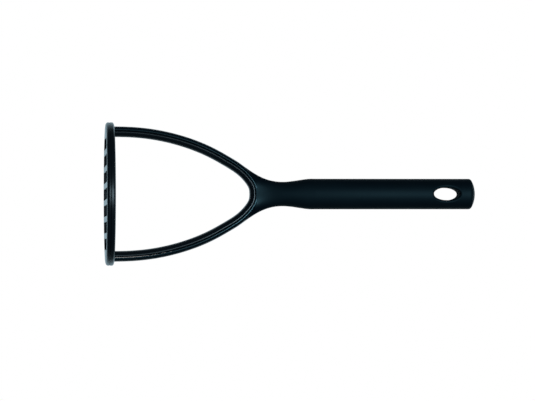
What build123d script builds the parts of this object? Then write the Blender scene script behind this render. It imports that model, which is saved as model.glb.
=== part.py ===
"""One-handed potato masher: perforated head, two-armed bow and a round hanging handle.

The masher stands on its mashing face, with the handle pointing up.
Frame: origin at the centre of the mashing face, +Z along the handle, arms spread along X.
All sizes are in millimetres. Depths run along Y and are measured from the middle plane.
"""
from math import asin, copysign, cos, degrees, pi, sin
import os

from build123d import *

# Overall
TOTAL_LENGTH = 260.0
HEAD_RADIUS = 50.0
HEAD_HEIGHT = 6.0
HANDLE_RADIUS = 10.7
FIT_GAP = 0.1                # between pieces that are pushed together
SEAT_GAP = 0.05              # between the bow and the handle moulded round it

# Rim beads of the head
SEAM_HEIGHT = 2.75           # where the plate's bead meets the ring's bead
SEAM_GAP = 0.12              # width of the groove between the beads
SEAM_RADIUS = 49.6           # how far in the groove goes
BEAD_EASE = 0.35             # rounding of both lips of the groove
LOWER_IN = 2.4               # rounding of the lower outside corner: inwards and upwards
LOWER_UP = 1.8
UPPER_IN = 2.6               # rounding of the upper outside corner: inwards and downwards
UPPER_DOWN = 1.5

# Mashing plate
SLOT_PITCH = 11.7
SLOT_WIDTH = 7.7
SLOT_COUNT = 7
SLOT_CIRCLE = 45.5           # the slots stop at this circle
SLOT_END = 1.4               # rounding of the slots' corners
PLATE_HEIGHT = 4.4
BAR_EASE = 0.4               # rounding of the bars on the mashing face
CROSS_RIB_WIDTH = 4.0        # rib that joins the bars across the middle, set back from the face
CROSS_RIB_BOTTOM = 2.5
SPIGOT_RADIUS = 46.5
SPIGOT_SIDE = 40.2

# Ring
LIP_RADIUS = 45.7
LIP_SIDE = 39.3
LIP_ROUND = 0.6
LIP_BOTTOM = 4.6
PEG_RADIUS = 42.4            # foot pegs of the bow: place, size and how far they go down
PEG_ACROSS = 2.4
PEG_ALONG = 5.0
PEG_DOWN = 1.8

# Bow: the inner edge as (x, z) from the top of the arch down to one foot
BOW_TOP = 101.1
BOW_FOOT = 40.15
BOW_EDGE = [
    (0, BOW_TOP),
    (5.2, 100.1),
    (12.3, 94.4),
    (19.7, 83.8),
    (25.35, 73.7),
    (33.95, 52.0),
    (38.5, 31.5),
    (BOW_FOOT, HEAD_HEIGHT),
]
BOW_WIDTH = 4.15             # inner edge to the crease
CREST = [(2.7, 5.62), (3.1, 5.57)]   # flat of the bow's crest: distance from the inner edge, depth
CREASE_DEPTH = 4.3
INNER_DEPTH = 2.2
INNER_BULGE = 0.35
OFFSET_STEPS = 16            # points on each half of a line that follows the bow at a distance

# Tang inside the handle
TANG_RADIUS = 4.3
TANG_TOP = 168.0
BARB_RADIUS = 5.6
BARB_HEIGHT = 2.5
BARB_LEVELS = (146.0, 158.0)

# Neck sections: height, half width, half depth, squareness (2 is an ellipse)
NECK_SECTIONS = [
    (88.0, 24.7, 4.7, 4.2),
    (101.9, 16.0, 4.9, 3.0),
    (112.4, 10.5, 5.9, 2.3),
    (125.5, 8.55, 8.55, 2.0),
    (137.1, 10.0, 10.0, 2.0),
    (146.0, HANDLE_RADIUS, HANDLE_RADIUS, 2.0),
]
SECTION_POINTS = 32

# Fork ribs that back the bow down to the ring
RIB_WIDTH = 7.05             # inner edge of the bow to the outside of the rib
RIDGE = [(4.5, 5.0), (4.85, 4.966)]   # flat of the rib's ridge: distance from the inner edge, depth

# Grip
BORE_RADIUS = 8.0
BORE_BOTTOM = 172.0
DOME_RADIUS = 20.0
END_CORNER = 2.4
HANG_HEIGHT = 239.3
HANG_LENGTH = 18.9
HANG_WIDTH = 8.9
HANG_LIP = 1.2
PLUG_BOTTOM = 227.0


def bow_edge_half():
    """Inner edge of the bow's +X half, from the foot up to the top."""
    return Spline(*BOW_EDGE[::-1], tangents=[(0, 1), (-1, 0)])


def line_outside_bow(distance):
    """Line over both halves that keeps a constant distance outside the bow's inner edge."""
    right = []
    for step in range(OFFSET_STEPS + 1):
        place = INNER_EDGE @ (step / OFFSET_STEPS)
        along = INNER_EDGE % (step / OFFSET_STEPS)
        right.append((place.X + distance * along.Y, place.Y - distance * along.X))
    left = [(-x, z) for x, z in right]
    Spline(*right, tangents=[(0, 1), (-1, 0)])
    Spline(*left, tangents=[(0, 1), (1, 0)])


def superellipse(half_width, half_depth, squareness):
    """Closed outline between an ellipse and a rounded rectangle."""
    points = []
    for step in range(SECTION_POINTS):
        angle = 2 * pi * step / SECTION_POINTS
        x = half_width * abs(cos(angle)) ** (2 / squareness)
        y = half_depth * abs(sin(angle)) ** (2 / squareness)
        points.append((copysign(x, cos(angle)), copysign(y, sin(angle))))
    return Spline(*points, periodic=True)


def flat_sided_disc(radius, side):
    """Disc cut off flat at both sides, where the feet of the bow stand."""
    Circle(radius)
    Rectangle(2 * side, 2 * radius, mode=Mode.INTERSECT)


def dome_arc(radius):
    """Arc of the domed handle end, from the given radius in to the axis."""
    angle = degrees(asin(radius / DOME_RADIUS))
    return CenterArc((0, TOTAL_LENGTH - DOME_RADIUS), DOME_RADIUS, 90 - angle, angle)


def export(part, name):
    """Label one finished piece and write its STEP file."""
    part.label = name
    export_step(part, "parts/" + name + ".step")


os.makedirs("parts", exist_ok=True)
INNER_EDGE = bow_edge_half()

# Mashing plate: bars with long slots between them, one cross rib and a spigot that fits the ring
with BuildPart() as mashing_plate:
    plate_lip = SEAM_HEIGHT - SEAM_GAP / 2
    with BuildSketch(Plane.XZ) as plate_profile:
        with BuildLine() as plate_outline:
            Line((0, 0), (HEAD_RADIUS - LOWER_IN, 0))
            EllipticalCenterArc((HEAD_RADIUS - LOWER_IN, LOWER_UP), LOWER_IN, LOWER_UP, 270, arc_size=90)
            Line((HEAD_RADIUS, LOWER_UP), (HEAD_RADIUS, plate_lip - BEAD_EASE))
            CenterArc((HEAD_RADIUS - BEAD_EASE, plate_lip - BEAD_EASE), BEAD_EASE, 0, 90)
            Polyline(
                (HEAD_RADIUS - BEAD_EASE, plate_lip),
                (SEAM_RADIUS, plate_lip),
                (SEAM_RADIUS, SEAM_HEIGHT),
                (0, SEAM_HEIGHT),
                (0, 0),
            )
        make_face()
    revolve(axis=Axis.Z)
    with BuildSketch(Plane.XY.offset(SEAM_HEIGHT)) as spigot:
        flat_sided_disc(SPIGOT_RADIUS, SPIGOT_SIDE)
    extrude(amount=PLATE_HEIGHT - SEAM_HEIGHT)
    with BuildSketch() as slots:
        with GridLocations(SLOT_PITCH, 0, SLOT_COUNT, 1):
            Rectangle(SLOT_WIDTH, 2 * SLOT_CIRCLE)
        Circle(SLOT_CIRCLE, mode=Mode.INTERSECT)
        fillet(slots.vertices(), SLOT_END)
    extrude(amount=PLATE_HEIGHT, mode=Mode.SUBTRACT)
    mashing_face = mashing_plate.faces().sort_by(Axis.Z)[0]
    fillet(mashing_face.inner_wires().edges(), BAR_EASE)
    with BuildSketch(Plane.XY.offset(CROSS_RIB_BOTTOM)) as cross_rib:
        Rectangle(2 * SPIGOT_SIDE, CROSS_RIB_WIDTH)
    extrude(amount=PLATE_HEIGHT - CROSS_RIB_BOTTOM)

# Ring: sits on the plate's rim, covers its spigot with a lip and carries the feet of the bow
with BuildPart() as head_ring:
    ring_lip = SEAM_HEIGHT + SEAM_GAP / 2
    upper_start = HEAD_HEIGHT - UPPER_DOWN
    with BuildSketch(Plane.XZ) as ring_profile:
        with BuildLine() as ring_outline:
            CenterArc((HEAD_RADIUS - BEAD_EASE, ring_lip + BEAD_EASE), BEAD_EASE, 270, 90)
            Line((HEAD_RADIUS, ring_lip + BEAD_EASE), (HEAD_RADIUS, upper_start))
            EllipticalCenterArc((HEAD_RADIUS - UPPER_IN, upper_start), UPPER_IN, UPPER_DOWN, 0, arc_size=90)
            Polyline(
                (HEAD_RADIUS - UPPER_IN, HEAD_HEIGHT),
                (0, HEAD_HEIGHT),
                (0, SEAM_HEIGHT),
                (SEAM_RADIUS, SEAM_HEIGHT),
                (SEAM_RADIUS, ring_lip),
                (HEAD_RADIUS - BEAD_EASE, ring_lip),
            )
        make_face()
    revolve(axis=Axis.Z)
    with BuildSketch(Plane.XY.offset(LIP_BOTTOM)) as lip:
        flat_sided_disc(LIP_RADIUS, LIP_SIDE)
    extrude(amount=HEAD_HEIGHT, mode=Mode.SUBTRACT)
    ring_top = head_ring.faces().sort_by(Axis.Z)[-1]
    fillet(ring_top.inner_wires().edges(), LIP_ROUND)
    with BuildSketch(Plane.XY.offset(SEAM_HEIGHT)) as spigot_seat:
        flat_sided_disc(SPIGOT_RADIUS + FIT_GAP, SPIGOT_SIDE + FIT_GAP)
    extrude(amount=LIP_BOTTOM - SEAM_HEIGHT, mode=Mode.SUBTRACT)
    with BuildSketch(Plane.XY.offset(HEAD_HEIGHT)) as sockets:
        with Locations((PEG_RADIUS, 0), (-PEG_RADIUS, 0)):
            Rectangle(PEG_ACROSS + 2 * FIT_GAP, PEG_ALONG + 2 * FIT_GAP)
    extrude(amount=-(PEG_DOWN + FIT_GAP), mode=Mode.SUBTRACT)

# Bow: one U-shaped bar with a crest line, two foot pegs and the tang inside the handle
with BuildPart() as bow:
    with BuildLine(Plane.XZ) as bow_path:
        bow_edge_half()
    with BuildSketch(Plane.XY.offset(HEAD_HEIGHT)) as bow_section:
        crest_in, crest_out = [(BOW_FOOT + distance, depth) for distance, depth in CREST]
        crease = (BOW_FOOT + BOW_WIDTH, CREASE_DEPTH)
        shoulder = (BOW_FOOT + 1.0, 4.3)
        with BuildLine() as bow_outline:
            SagittaArc((BOW_FOOT, -INNER_DEPTH), (BOW_FOOT, INNER_DEPTH), INNER_BULGE)
            ThreePointArc((BOW_FOOT, INNER_DEPTH), shoulder, crest_in)
            Polyline(crest_in, crest_out, crease, (BOW_FOOT + BOW_WIDTH, 0))
            mirror(about=Plane.XZ)
        make_face()
    sweep(path=bow_path.line)
    mirror(about=Plane.YZ)
    with BuildSketch(Plane.XY.offset(HEAD_HEIGHT)) as pegs:
        with Locations((PEG_RADIUS, 0), (-PEG_RADIUS, 0)):
            Rectangle(PEG_ACROSS, PEG_ALONG)
    extrude(amount=-PEG_DOWN)
    tang_bottom = BOW_TOP + BOW_WIDTH / 2
    with BuildSketch(Plane.XY.offset(tang_bottom)) as tang:
        Circle(TANG_RADIUS)
    extrude(amount=TANG_TOP - tang_bottom)
    for level in BARB_LEVELS:
        with BuildSketch(Plane.XY.offset(level)) as barb:
            Circle(BARB_RADIUS)
        extrude(amount=BARB_HEIGHT)

# Handle: grip, waisted neck and the two fork ribs that back the bow down to the ring
with BuildPart() as handle_shell:
    grip_bottom = NECK_SECTIONS[-1][0]
    corner_angle = asin((HANDLE_RADIUS - END_CORNER) / (DOME_RADIUS - END_CORNER))
    dome_edge = DOME_RADIUS * sin(corner_angle)
    corner_height = TOTAL_LENGTH - DOME_RADIUS + (DOME_RADIUS - END_CORNER) * cos(corner_angle)
    with BuildSketch(Plane.XZ) as grip_profile:
        with BuildLine() as grip_outline:
            Polyline((0, TOTAL_LENGTH), (0, grip_bottom), (HANDLE_RADIUS, grip_bottom), (HANDLE_RADIUS, corner_height))
            CenterArc((HANDLE_RADIUS - END_CORNER, corner_height), END_CORNER, 0, 90 - degrees(corner_angle))
            dome_arc(dome_edge)
        make_face()
    revolve(axis=Axis.Z)
    with BuildSketch(Plane.XZ) as hang_hole:
        with Locations((0, HANG_HEIGHT)):
            Ellipse(HANG_WIDTH / 2, HANG_LENGTH / 2)
    extrude(amount=HANDLE_RADIUS + 1, both=True, mode=Mode.SUBTRACT)
    fillet(handle_shell.edges().filter_by(GeomType.BSPLINE), HANG_LIP)

    for height, half_width, half_depth, squareness in NECK_SECTIONS:
        with BuildSketch(Plane.XY.offset(height)) as neck_section:
            if squareness == 2.0:
                Circle(half_width)
            else:
                with BuildLine() as neck_outline:
                    superellipse(half_width, half_depth, squareness)
                make_face()
    loft()
    seat = BOW_WIDTH + SEAT_GAP
    seat_foot = BOW_FOOT + seat
    with BuildSketch(Plane.XZ) as opening:
        with BuildLine() as opening_outline:
            line_outside_bow(seat)
            Polyline((-seat_foot, HEAD_HEIGHT), (-seat_foot, 0), (seat_foot, 0), (seat_foot, HEAD_HEIGHT))
        make_face()
    extrude(amount=HANDLE_RADIUS, both=True, mode=Mode.SUBTRACT)
    with BuildPart(mode=Mode.PRIVATE) as fork_ribs:
        with BuildLine(Plane.XZ) as rib_path:
            bow_edge_half()
        with BuildSketch(Plane.XY.offset(HEAD_HEIGHT)) as rib_section:
            rib_start = seat_foot + SEAT_GAP
            ridge_in, ridge_out = [(BOW_FOOT + distance, depth) for distance, depth in RIDGE]
            rib_round = BOW_FOOT + RIB_WIDTH - ridge_out[0]
            with BuildLine() as rib_outline:
                Polyline((rib_start, 0), (rib_start, CREASE_DEPTH), ridge_in, ridge_out)
                EllipticalCenterArc((ridge_out[0], 0), rib_round, ridge_out[1], 0, arc_size=90)
                mirror(about=Plane.XZ)
            make_face()
        sweep(path=rib_path.line)
        mirror(about=Plane.YZ)
    add(fork_ribs.part)

    tang_spaces = [(BOW_TOP, TANG_TOP, TANG_RADIUS)]
    tang_spaces += [(level, level + BARB_HEIGHT, BARB_RADIUS) for level in BARB_LEVELS]
    for bottom, top, radius in tang_spaces:
        with BuildSketch(Plane.XY.offset(bottom - SEAT_GAP)) as tang_space:
            Circle(radius + SEAT_GAP)
        extrude(amount=top - bottom + 2 * SEAT_GAP, mode=Mode.SUBTRACT)
    with BuildSketch(Plane.XY.offset(BORE_BOTTOM)) as bore:
        Circle(BORE_RADIUS)
    extrude(amount=TOTAL_LENGTH - BORE_BOTTOM, mode=Mode.SUBTRACT)

# End plug: closes the bore with the middle of the dome and carries the wall of the hanging hole
with BuildPart() as end_plug:
    plug_radius = BORE_RADIUS - FIT_GAP
    plug_shoulder = TOTAL_LENGTH - DOME_RADIUS * (1 - cos(asin(plug_radius / DOME_RADIUS)))
    with BuildSketch(Plane.XZ) as plug_profile:
        with BuildLine() as plug_outline:
            Polyline((0, TOTAL_LENGTH), (0, PLUG_BOTTOM), (plug_radius, PLUG_BOTTOM), (plug_radius, plug_shoulder))
            dome_arc(plug_radius)
        make_face()
    revolve(axis=Axis.Z)
    with BuildSketch(Plane.XZ) as plug_hole:
        with Locations((0, HANG_HEIGHT)):
            Ellipse(HANG_WIDTH / 2, HANG_LENGTH / 2)
    extrude(amount=HANDLE_RADIUS, both=True, mode=Mode.SUBTRACT)

export(mashing_plate.part, "mashing_plate")
export(head_ring.part, "head_ring")
export(bow.part, "bow")
export(handle_shell.part, "handle_shell")
export(end_plug.part, "end_plug")
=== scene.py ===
"""Potato masher: materials, stage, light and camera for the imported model. All sizes are in metres."""
import math

import bmesh
import bpy
from mathutils import Matrix, Vector

# Camera: the handle runs across the picture, with the mashing face at the left
CAMERA_AT = Vector((0.0415, -1.95, -0.05))
CAMERA_LOOKS_AT = Vector((0.00453, 0.0, 0.1135))
SENSOR_WIDTH = 0.036
LENS_LENGTH = 0.187873

# Light, all bluish: a softbox in front of the masher and beyond the handle's end, one overhead,
# a white backdrop behind the masher and a dim room everywhere else
TINT = Vector((0.62, 0.87, 1.0))
SOFTBOX_AT = Vector((0.04, -1.72, 0.40))
SOFTBOX_SIZE = (0.56, 0.44)
SOFTBOX_RADIANCE = 22.0
OVERHEAD_AT = Vector((0.0, 0.9, 1.5))
OVERHEAD_SIZE = (1.2, 1.2)
OVERHEAD_RADIANCE = 0.6
LIGHTS_FACE = Vector((0.0, 0.0, 0.12))
BACKDROP = 0.95
BACKDROP_EDGES = (0.57, 0.97)   # cosine from straight behind where the backdrop fades out and is full
ROOM = 0.06

# Where the plastic's gloss changes: each pair is where a change starts and where it is complete
RUBBED = (0.0012, 0.0002)          # height: scuffs are strongest on the mashing face
SLOT_BOTTOM = (0.0001, 0.0005)     # height: slot walls and the plate's back are duller between these two
SLOT_TOP = (0.0052, 0.0046)
SLOT_CIRCLE = (0.0457, 0.0455)     # distance from the axis that they lie within
ARMS_BOTTOM = (0.006, 0.0075)      # height: the arms are duller from the ring up
ARMS_DULL = (0.055, 0.092)         # height: where the arms turn as glossy as the top of the bow
NECK_MATT = (0.103, 0.121)         # height: the handle turns from glossy below to matt above
GRIP_POLISHED = (0.12, 0.2)        # height: the grip is a little smoother above
HOLE_BOTTOM = (0.2255, 0.2265)     # height: the wall of the hanging hole is duller between these two
HOLE_TOP = (0.2525, 0.2515)
HOLE_WALL = (0.0103, 0.0095)       # distance from the axis that it lies within

# How rough each plastic is, and how much is added where it is duller or taken off where it is smoother
NYLON_ROUGHNESS = (0.25, 0.3)
SCUFFS_DULLER = 0.25
SLOTS_DULLER = 0.4
BOW_ARMS_DULLER = 0.13
HANDLE_ROUGHNESS = (0.19, 0.66)    # on the fork, and above the neck
CLOUDS_DULLER = 0.08
GRIP_SMOOTHER = 0.10
FORK_ARMS_DULLER = 0.16
HOLE_DULLER = 0.45
NYLON_SPECULAR = 0.38
HANDLE_SPECULAR = 0.23

# Plastic colours: two close shades of near-black for each plastic, and the tint of the handle's sheen
NYLON_DARK = (0.0026, 0.0052, 0.0082)
NYLON_PALE = (0.0036, 0.0066, 0.0100)
HANDLE_DARK = (0.0012, 0.0040, 0.0072)
HANDLE_PALE = (0.0020, 0.0054, 0.0090)
HANDLE_SHEEN = (0.54, 0.90, 1.0)

# Floor: seen from above only, because the picture's camera looks up past the mashing face. Its own
# glow keeps it pale, because the softbox lights it at a low angle.
FLOOR_RADIUS = 3.0
FLOOR_DROP = 0.0004
FLOOR_COLOUR = (0.95, 0.68, 0.59)   # warm, because the light is bluish
FLOOR_GLOW = 0.5


def make_camera():
    """Camera whose right-hand side is the handle's direction."""
    data = bpy.data.cameras.new("camera")
    data.sensor_width = SENSOR_WIDTH * 1000
    data.lens = LENS_LENGTH * 1000
    data.clip_start = 0.01
    data.clip_end = 50
    camera = bpy.data.objects.new("camera", data)
    bpy.context.collection.objects.link(camera)
    back = (CAMERA_AT - CAMERA_LOOKS_AT).normalized()
    right = Vector((0, 0, 1))
    right = (right - back * right.dot(back)).normalized()
    up = back.cross(right)
    turn = Matrix((right, up, back)).transposed().to_4x4()
    camera.matrix_world = Matrix.Translation(CAMERA_AT) @ turn
    bpy.context.scene.camera = camera


class Nodes:
    """Small helper that adds and joins the nodes of one tree."""

    def __init__(self, tree):
        self.tree = tree
        tree.nodes.clear()

    def add(self, kind, inputs=None, **settings):
        node = self.tree.nodes.new(kind)
        for name, value in settings.items():
            setattr(node, name, value)
        for name, value in (inputs or {}).items():
            if isinstance(value, bpy.types.NodeSocket):
                self.tree.links.new(value, node.inputs[name])
            else:
                node.inputs[name].default_value = value
        return node

    def math(self, operation, first, second=0.0, clamp=False):
        node = self.add("ShaderNodeMath", {0: first, 1: second}, operation=operation, use_clamp=clamp)
        return node.outputs[0]

    def coordinates(self):
        """Place on the masher, its height above the mashing face and its distance from the axis."""
        place = self.add("ShaderNodeTexCoord").outputs["Object"]
        height = self.add("ShaderNodeSeparateXYZ", {"Vector": place}).outputs["Z"]
        flat = self.add("ShaderNodeVectorMath", {0: place, 1: (1, 1, 0)}, operation="MULTIPLY").outputs[0]
        radius = self.add("ShaderNodeVectorMath", {0: flat}, operation="LENGTH").outputs["Value"]
        return place, height, radius

    def shade(self, value, dark, pale):
        """Colour that goes from dark to pale as a noise value goes from 0.3 to 0.7."""
        inputs = {0: self.band(value, 0.3, 0.7), 6: (*dark, 1), 7: (*pale, 1)}
        return self.add("ShaderNodeMix", inputs, data_type="RGBA").outputs[2]

    def duller(self, roughness, share, amount, clamp=False):
        """Roughness raised by an amount where the share is 1."""
        return self.math("ADD", roughness, self.math("MULTIPLY", share, amount), clamp=clamp)

    def noise(self, place, size, detail=2.0, roughness=0.5, stretch=None):
        if stretch:
            place = self.add("ShaderNodeMapping", {"Vector": place, "Scale": stretch}).outputs[0]
        inputs = {"Vector": place, "Scale": 1 / size, "Detail": detail, "Roughness": roughness}
        return self.add("ShaderNodeTexNoise", inputs).outputs["Fac"]

    def band(self, value, low, high, to_low=0.0, to_high=1.0):
        """Smooth change from to_low at low to to_high at high, constant outside."""
        inputs = {"Value": value, "From Min": low, "From Max": high, "To Min": to_low, "To Max": to_high}
        return self.add("ShaderNodeMapRange", inputs, interpolation_type="SMOOTHSTEP").outputs[0]


def make_world():
    """White to the camera; in reflections a white backdrop behind and a dim room in front."""
    world = bpy.data.worlds.new("studio")
    world.use_nodes = True
    nodes = Nodes(world.node_tree)
    direction = nodes.add("ShaderNodeTexCoord").outputs["Generated"]
    away = nodes.add("ShaderNodeSeparateXYZ", {"Vector": direction}).outputs["Y"]
    level = nodes.band(away, *BACKDROP_EDGES, ROOM, BACKDROP)
    reflected = nodes.add("ShaderNodeBackground", {"Color": (*TINT, 1), "Strength": level})
    seen = nodes.add("ShaderNodeBackground", {"Color": (1, 1, 1, 1), "Strength": 1.0})
    is_camera = nodes.add("ShaderNodeLightPath").outputs["Is Camera Ray"]
    mix = nodes.add("ShaderNodeMixShader", {0: is_camera, 1: reflected.outputs[0], 2: seen.outputs[0]})
    nodes.add("ShaderNodeOutputWorld", {"Surface": mix.outputs[0]})
    bpy.context.scene.world = world


def make_light(name, place, target, size, radiance):
    """Soft rectangular light with a given brightness of its face."""
    data = bpy.data.lights.new(name, "AREA")
    data.shape = "RECTANGLE"
    data.size, data.size_y = size
    data.color = TINT
    data.energy = radiance * math.pi * size[0] * size[1]
    light = bpy.data.objects.new(name, data)
    bpy.context.collection.objects.link(light)
    light.location = place
    light.rotation_euler = (place - target).to_track_quat("Z", "Y").to_euler()
    light.visible_camera = False


def make_floor():
    """Pale floor under the mashing face: a disc that is see-through from below."""
    material = bpy.data.materials.new("floor")
    material.use_nodes = True
    nodes = Nodes(material.node_tree)
    pale = nodes.add("ShaderNodeBsdfPrincipled", {"Base Color": (*FLOOR_COLOUR, 1), "Roughness": 0.8})
    pale.inputs["Specular IOR Level"].default_value = 0.2
    pale.inputs["Emission Color"].default_value = (1, 1, 1, 1)
    pale.inputs["Emission Strength"].default_value = FLOOR_GLOW
    clear = nodes.add("ShaderNodeBsdfTransparent")
    under = nodes.add("ShaderNodeNewGeometry").outputs["Backfacing"]
    mix = nodes.add("ShaderNodeMixShader", {0: under, 1: pale.outputs[0], 2: clear.outputs[0]})
    nodes.add("ShaderNodeOutputMaterial", {"Surface": mix.outputs[0]})
    mesh = bpy.data.meshes.new("floor")
    shape = bmesh.new()
    bmesh.ops.create_circle(shape, cap_ends=True, segments=96, radius=FLOOR_RADIUS)
    shape.to_mesh(mesh)
    shape.free()
    mesh.materials.append(material)
    floor = bpy.data.objects.new("floor", mesh)
    floor.location.z = -FLOOR_DROP
    bpy.context.collection.objects.link(floor)
    floor.visible_diffuse = False
    floor.visible_glossy = False
    floor.visible_shadow = False


def nylon():
    """Semi-gloss moulded nylon: soft flow marks, a scuffed mashing side, dull slots and lower arms."""
    material = bpy.data.materials.new("moulded_nylon")
    material.use_nodes = True
    nodes = Nodes(material.node_tree)
    place, height, radius = nodes.coordinates()
    flow = nodes.noise(place, 0.014, 3.0, 0.6)
    grain = nodes.noise(place, 0.00035, 2.0, 0.6)
    scuff = nodes.band(nodes.noise(place, 0.0012, 4.0, 0.7, stretch=(1, 6, 6)), 0.62, 0.72)
    rubbed = nodes.math("ADD", nodes.math("MULTIPLY", nodes.band(height, *RUBBED), 0.6), 0.5)
    walls = nodes.math("MULTIPLY", nodes.band(height, *SLOT_BOTTOM), nodes.band(height, *SLOT_TOP))
    walls = nodes.math("MULTIPLY", walls, nodes.band(radius, *SLOT_CIRCLE))
    arms = nodes.math("MULTIPLY", nodes.band(height, *ARMS_BOTTOM), nodes.band(height, *ARMS_DULL, 1.0, 0.0))
    roughness = nodes.band(flow, 0.3, 0.7, *NYLON_ROUGHNESS)
    roughness = nodes.duller(roughness, nodes.math("MULTIPLY", scuff, rubbed), SCUFFS_DULLER)
    roughness = nodes.duller(roughness, walls, SLOTS_DULLER)
    roughness = nodes.duller(roughness, arms, BOW_ARMS_DULLER)
    tops = nodes.math("ADD", nodes.math("MULTIPLY", flow, 3.0), nodes.math("MULTIPLY", grain, 0.25))
    bump = nodes.add("ShaderNodeBump", {"Height": tops, "Strength": 0.35, "Distance": 0.00001}).outputs[0]
    colour = nodes.shade(flow, NYLON_DARK, NYLON_PALE)
    inputs = {"Base Color": colour, "Roughness": roughness, "Normal": bump}
    shader = nodes.add("ShaderNodeBsdfPrincipled", inputs)
    shader.inputs["Specular IOR Level"].default_value = NYLON_SPECULAR
    nodes.add("ShaderNodeOutputMaterial", {"Surface": shader.outputs[0]})
    return material


def matt_handle():
    """Handle plastic: glossy on the fork, matt with a fine spark texture from the neck up, a dull hole."""
    material = bpy.data.materials.new("handle_plastic")
    material.use_nodes = True
    nodes = Nodes(material.node_tree)
    place, height, radius = nodes.coordinates()
    cloud = nodes.noise(place, 0.02, 3.0, 0.6)
    grain = nodes.math("MULTIPLY", nodes.noise(place, 0.0004, 3.0, 0.65), nodes.band(height, *NECK_MATT))
    wall = nodes.math("MULTIPLY", nodes.band(radius, *HOLE_WALL), nodes.band(height, *HOLE_TOP))
    wall = nodes.math("MULTIPLY", wall, nodes.band(height, *HOLE_BOTTOM))
    roughness = nodes.band(height, *NECK_MATT, *HANDLE_ROUGHNESS)
    roughness = nodes.duller(roughness, cloud, CLOUDS_DULLER)
    roughness = nodes.math("SUBTRACT", roughness, nodes.band(height, *GRIP_POLISHED, 0.0, GRIP_SMOOTHER))
    roughness = nodes.math("ADD", roughness, nodes.band(height, *ARMS_DULL, FORK_ARMS_DULLER, 0.0))
    roughness = nodes.duller(roughness, wall, HOLE_DULLER, clamp=True)
    bump = nodes.add("ShaderNodeBump", {"Height": grain, "Strength": 0.5, "Distance": 0.00003}).outputs[0]
    colour = nodes.shade(cloud, HANDLE_DARK, HANDLE_PALE)
    inputs = {"Base Color": colour, "Roughness": roughness, "Normal": bump}
    shader = nodes.add("ShaderNodeBsdfPrincipled", inputs)
    shader.inputs["Specular IOR Level"].default_value = HANDLE_SPECULAR
    shader.inputs["Specular Tint"].default_value = (*HANDLE_SHEEN, 1)
    nodes.add("ShaderNodeOutputMaterial", {"Surface": shader.outputs[0]})
    return material


def dress(names, material):
    """Give the named pieces one material."""
    for name in names:
        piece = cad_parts[name]
        piece.data.materials.clear()
        piece.data.materials.append(material)


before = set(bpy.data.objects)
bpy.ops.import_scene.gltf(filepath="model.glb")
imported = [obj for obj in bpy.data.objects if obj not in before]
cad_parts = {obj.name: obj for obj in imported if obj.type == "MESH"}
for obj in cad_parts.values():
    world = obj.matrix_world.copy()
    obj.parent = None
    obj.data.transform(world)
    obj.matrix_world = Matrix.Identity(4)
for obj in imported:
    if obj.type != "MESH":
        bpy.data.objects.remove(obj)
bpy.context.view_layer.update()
make_camera()
make_world()
make_light("softbox", SOFTBOX_AT, LIGHTS_FACE, SOFTBOX_SIZE, SOFTBOX_RADIANCE)
make_light("overhead", OVERHEAD_AT, LIGHTS_FACE, OVERHEAD_SIZE, OVERHEAD_RADIANCE)
make_floor()
bpy.context.scene.view_settings.view_transform = "Standard"

dress(("mashing_plate", "head_ring", "bow"), nylon())
dress(("handle_shell", "end_plug"), matt_handle())
